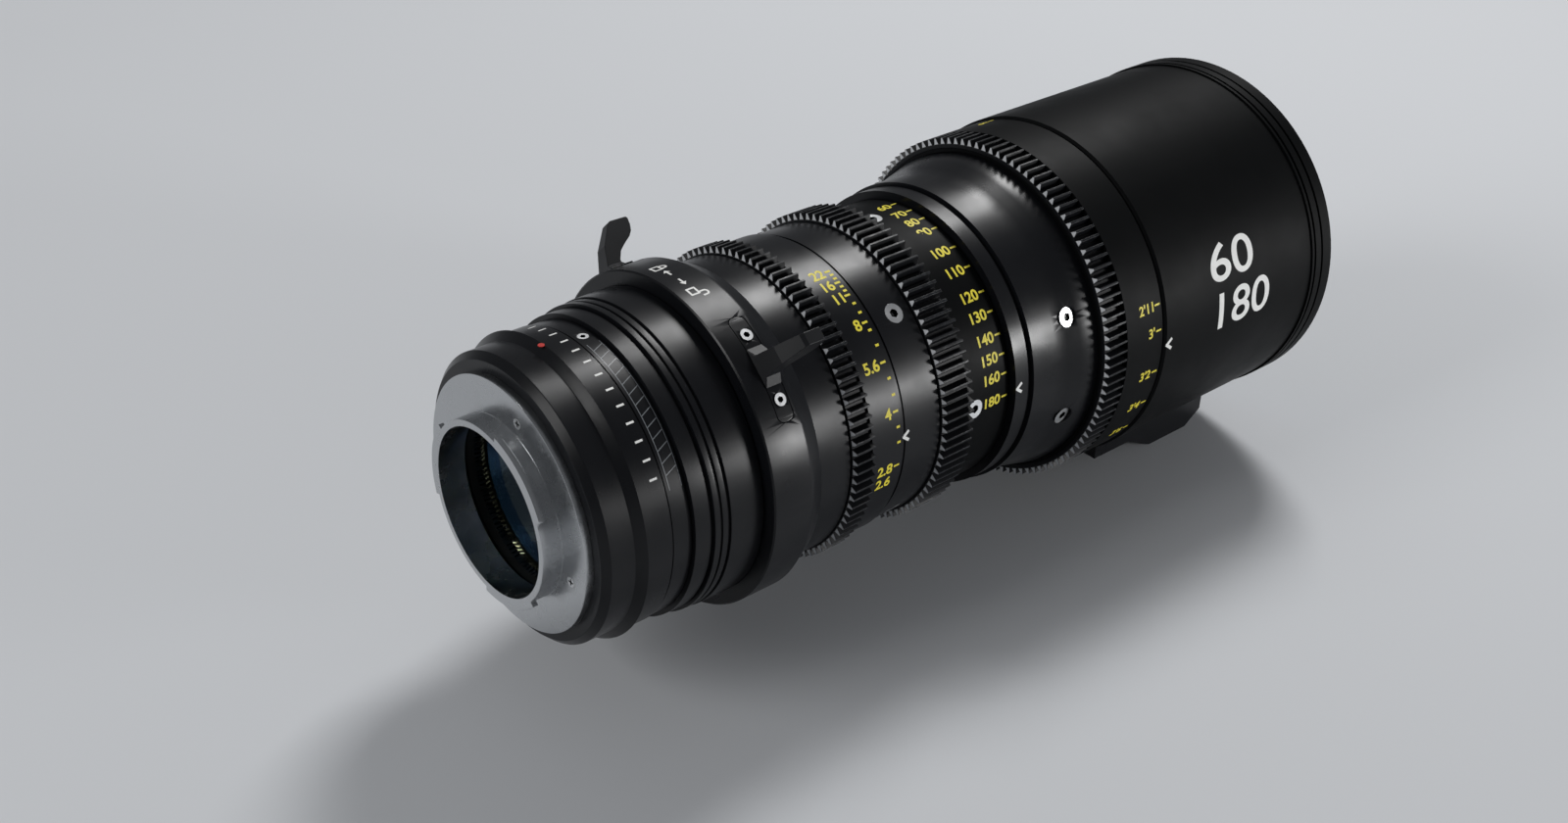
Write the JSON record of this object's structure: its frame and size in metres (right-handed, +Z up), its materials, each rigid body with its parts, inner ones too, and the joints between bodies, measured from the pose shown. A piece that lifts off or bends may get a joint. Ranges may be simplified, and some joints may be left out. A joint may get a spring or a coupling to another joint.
{
  "type": "cinema zoom lens",
  "caption": "Long cinema zoom lens with geared focus, zoom and iris rings, on a lever-locked mount adapter, with a support foot under its front barrel.",
  "frame": {"origin": "on the optical axis in the plane of the camera-side flange", "axes": "+Y along the optical axis to the subject, +Z up, +X to the right of someone behind the lens"},
  "size_m": [0.095, 0.2407, 0.1028],
  "materials": {
    "satin_black": "satin black anodised aluminium",
    "gear_black": "satin black anodised gear teeth",
    "lever_black": "satin black lever",
    "matt_black_trim": "matt black baffle finish",
    "mount_steel": "ground stainless steel",
    "screw_steel": "bright stainless screws",
    "inner_aluminium": "turned aluminium",
    "brass_key": "plain brass",
    "coated_glass": "polished coated glass",
    "blade_steel": "dull black steel"
  },
  "bodies": {
    "lens_barrel": {"camera_bayonet": "mount_steel", "bayonet_screws": "screw_steel", "adapter_rear_barrel": "satin_black", "adapter_front_barrel": "satin_black", "lens_mount": "mount_steel", "mount_screws": "screw_steel", "rear_barrel": "satin_black", "main_tube": "inner_aluminium", "iris_housing": "matt_black_trim", "iris_retainer": "matt_black_trim", "mid_barrel": "satin_black", "mid_barrel_screws": "screw_steel", "guide_tube": "inner_aluminium", "relay_cell": "matt_black_trim", "relay_rear_element": "coated_glass", "relay_front_element": "coated_glass", "main_barrel": "satin_black", "main_barrel_screws": "screw_steel", "front_barrel": "satin_black", "front_trim": "matt_black_trim", "front_cell": "matt_black_trim", "front_element": "coated_glass", "second_element": "coated_glass", "support_foot": "satin_black", "foot_screws": "screw_steel"},
    "backfocus": {"backfocus_ring": "satin_black", "backfocus_screw": "screw_steel"},
    "converter": {"converter_cell": "matt_black_trim", "converter_rear_element": "coated_glass", "converter_front_element": "coated_glass"},
    "lock": {"lock_ring": "satin_black", "lever_plates": "satin_black", "lever_tab_right": "lever_black", "lever_tab_left": "lever_black", "lever_screws": "screw_steel"},
    "iris_control": {"iris_ring": "satin_black", "iris_gear": "gear_black", "iris_key": "brass_key", "iris_cam_plate": "inner_aluminium"},
    "zoom_control": {"zoom_ring": "satin_black", "zoom_gear": "gear_black", "zoom_key": "brass_key", "zoom_ring_screws": "screw_steel", "zoom_cam_tube": "inner_aluminium"},
    "focus_control": {"focus_ring": "satin_black", "focus_gear": "gear_black"},
    "compensator": {"compensator_cell": "inner_aluminium", "compensator_element": "coated_glass"},
    "variator": {"variator_cell": "inner_aluminium", "variator_element": "coated_glass"},
    "focus_group": {"focus_cell": "inner_aluminium", "focus_element": "coated_glass"},
    "blade_1": {"iris_blade_1": "blade_steel"},
    "blade_2": {"iris_blade_2": "blade_steel"},
    "blade_3": {"iris_blade_3": "blade_steel"},
    "blade_4": {"iris_blade_4": "blade_steel"},
    "blade_5": {"iris_blade_5": "blade_steel"},
    "blade_6": {"iris_blade_6": "blade_steel"},
    "blade_7": {"iris_blade_7": "blade_steel"},
    "blade_8": {"iris_blade_8": "blade_steel"}
  },
  "joints": [
    {"name": "lock_turn", "type": "hinge", "parent": "lens_barrel", "child": "lock", "pos_m": [0, 0.048, 0], "axis": [0, 1, 0], "range_deg": [0, 45]},
    {"name": "backfocus_turn", "type": "hinge", "parent": "lens_barrel", "child": "backfocus", "pos_m": [0, 0.018, 0], "axis": [0, 1, 0], "range_deg": [-20, 20]},
    {"name": "converter_slide", "type": "slide", "parent": "lens_barrel", "child": "converter", "axis": [0, 1, 0], "range_m": [-0.0004, 0.0004]},
    {"name": "iris_turn", "type": "hinge", "parent": "lens_barrel", "child": "iris_control", "pos_m": [0, 0.076, 0], "axis": [0, 1, 0], "range_deg": [-14, 68]},
    {"name": "zoom_turn", "type": "hinge", "parent": "lens_barrel", "child": "zoom_control", "pos_m": [0, 0.108, 0], "axis": [0, 1, 0], "range_deg": [0, 94]},
    {"name": "focus_turn", "type": "hinge", "parent": "lens_barrel", "child": "focus_control", "pos_m": [0, 0.156, 0], "axis": [0, 1, 0], "range_deg": [-251.5, 14.5]},
    {"name": "variator_slide", "type": "slide", "parent": "lens_barrel", "child": "variator", "axis": [0, 1, 0], "range_m": [0, 0.0328]},
    {"name": "compensator_slide", "type": "slide", "parent": "lens_barrel", "child": "compensator", "axis": [0, 1, 0], "range_m": [0, 0.0049]},
    {"name": "focus_slide", "type": "slide", "parent": "lens_barrel", "child": "focus_group", "axis": [0, 1, 0], "range_m": [-0.00747, 0.00043]},
    {"name": "blade_turn_1", "type": "hinge", "parent": "lens_barrel", "child": "blade_1", "pos_m": [0, 0.071, 0.0244], "axis": [0, 1, 0], "range_deg": [-5.9, 28.3]},
    {"name": "blade_turn_2", "type": "hinge", "parent": "lens_barrel", "child": "blade_2", "pos_m": [0.01725, 0.07134, 0.01725], "axis": [0, 1, 0], "range_deg": [-5.9, 28.3]},
    {"name": "blade_turn_3", "type": "hinge", "parent": "lens_barrel", "child": "blade_3", "pos_m": [0.0244, 0.07168, 0], "axis": [0, 1, 0], "range_deg": [-5.9, 28.3]},
    {"name": "blade_turn_4", "type": "hinge", "parent": "lens_barrel", "child": "blade_4", "pos_m": [0.01725, 0.07202, -0.01725], "axis": [0, 1, 0], "range_deg": [-5.9, 28.3]},
    {"name": "blade_turn_5", "type": "hinge", "parent": "lens_barrel", "child": "blade_5", "pos_m": [0, 0.07236, -0.0244], "axis": [0, 1, 0], "range_deg": [-5.9, 28.3]},
    {"name": "blade_turn_6", "type": "hinge", "parent": "lens_barrel", "child": "blade_6", "pos_m": [-0.01725, 0.0727, -0.01725], "axis": [0, 1, 0], "range_deg": [-5.9, 28.3]},
    {"name": "blade_turn_7", "type": "hinge", "parent": "lens_barrel", "child": "blade_7", "pos_m": [-0.0244, 0.07304, 0], "axis": [0, 1, 0], "range_deg": [-5.9, 28.3]},
    {"name": "blade_turn_8", "type": "hinge", "parent": "lens_barrel", "child": "blade_8", "pos_m": [-0.01725, 0.07338, 0.01725], "axis": [0, 1, 0], "range_deg": [-5.9, 28.3]}
  ],
  "couplings": [
    {"joint": "converter_slide", "follows": "backfocus_turn", "m_per_rad": 0.0011173},
    {"joint": "variator_slide", "follows": "zoom_turn", "m_per_rad": 0.019986},
    {"joint": "compensator_slide", "follows": "zoom_turn", "m_per_rad": 0.0029806},
    {"joint": "focus_slide", "follows": "focus_turn", "m_per_rad": 0.0017016},
    {"joint": "blade_turn_1", "follows": "iris_turn", "ratio": 0.414},
    {"joint": "blade_turn_2", "follows": "iris_turn", "ratio": 0.414},
    {"joint": "blade_turn_3", "follows": "iris_turn", "ratio": 0.414},
    {"joint": "blade_turn_4", "follows": "iris_turn", "ratio": 0.414},
    {"joint": "blade_turn_5", "follows": "iris_turn", "ratio": 0.414},
    {"joint": "blade_turn_6", "follows": "iris_turn", "ratio": 0.414},
    {"joint": "blade_turn_7", "follows": "iris_turn", "ratio": 0.414},
    {"joint": "blade_turn_8", "follows": "iris_turn", "ratio": 0.414}
  ]
}
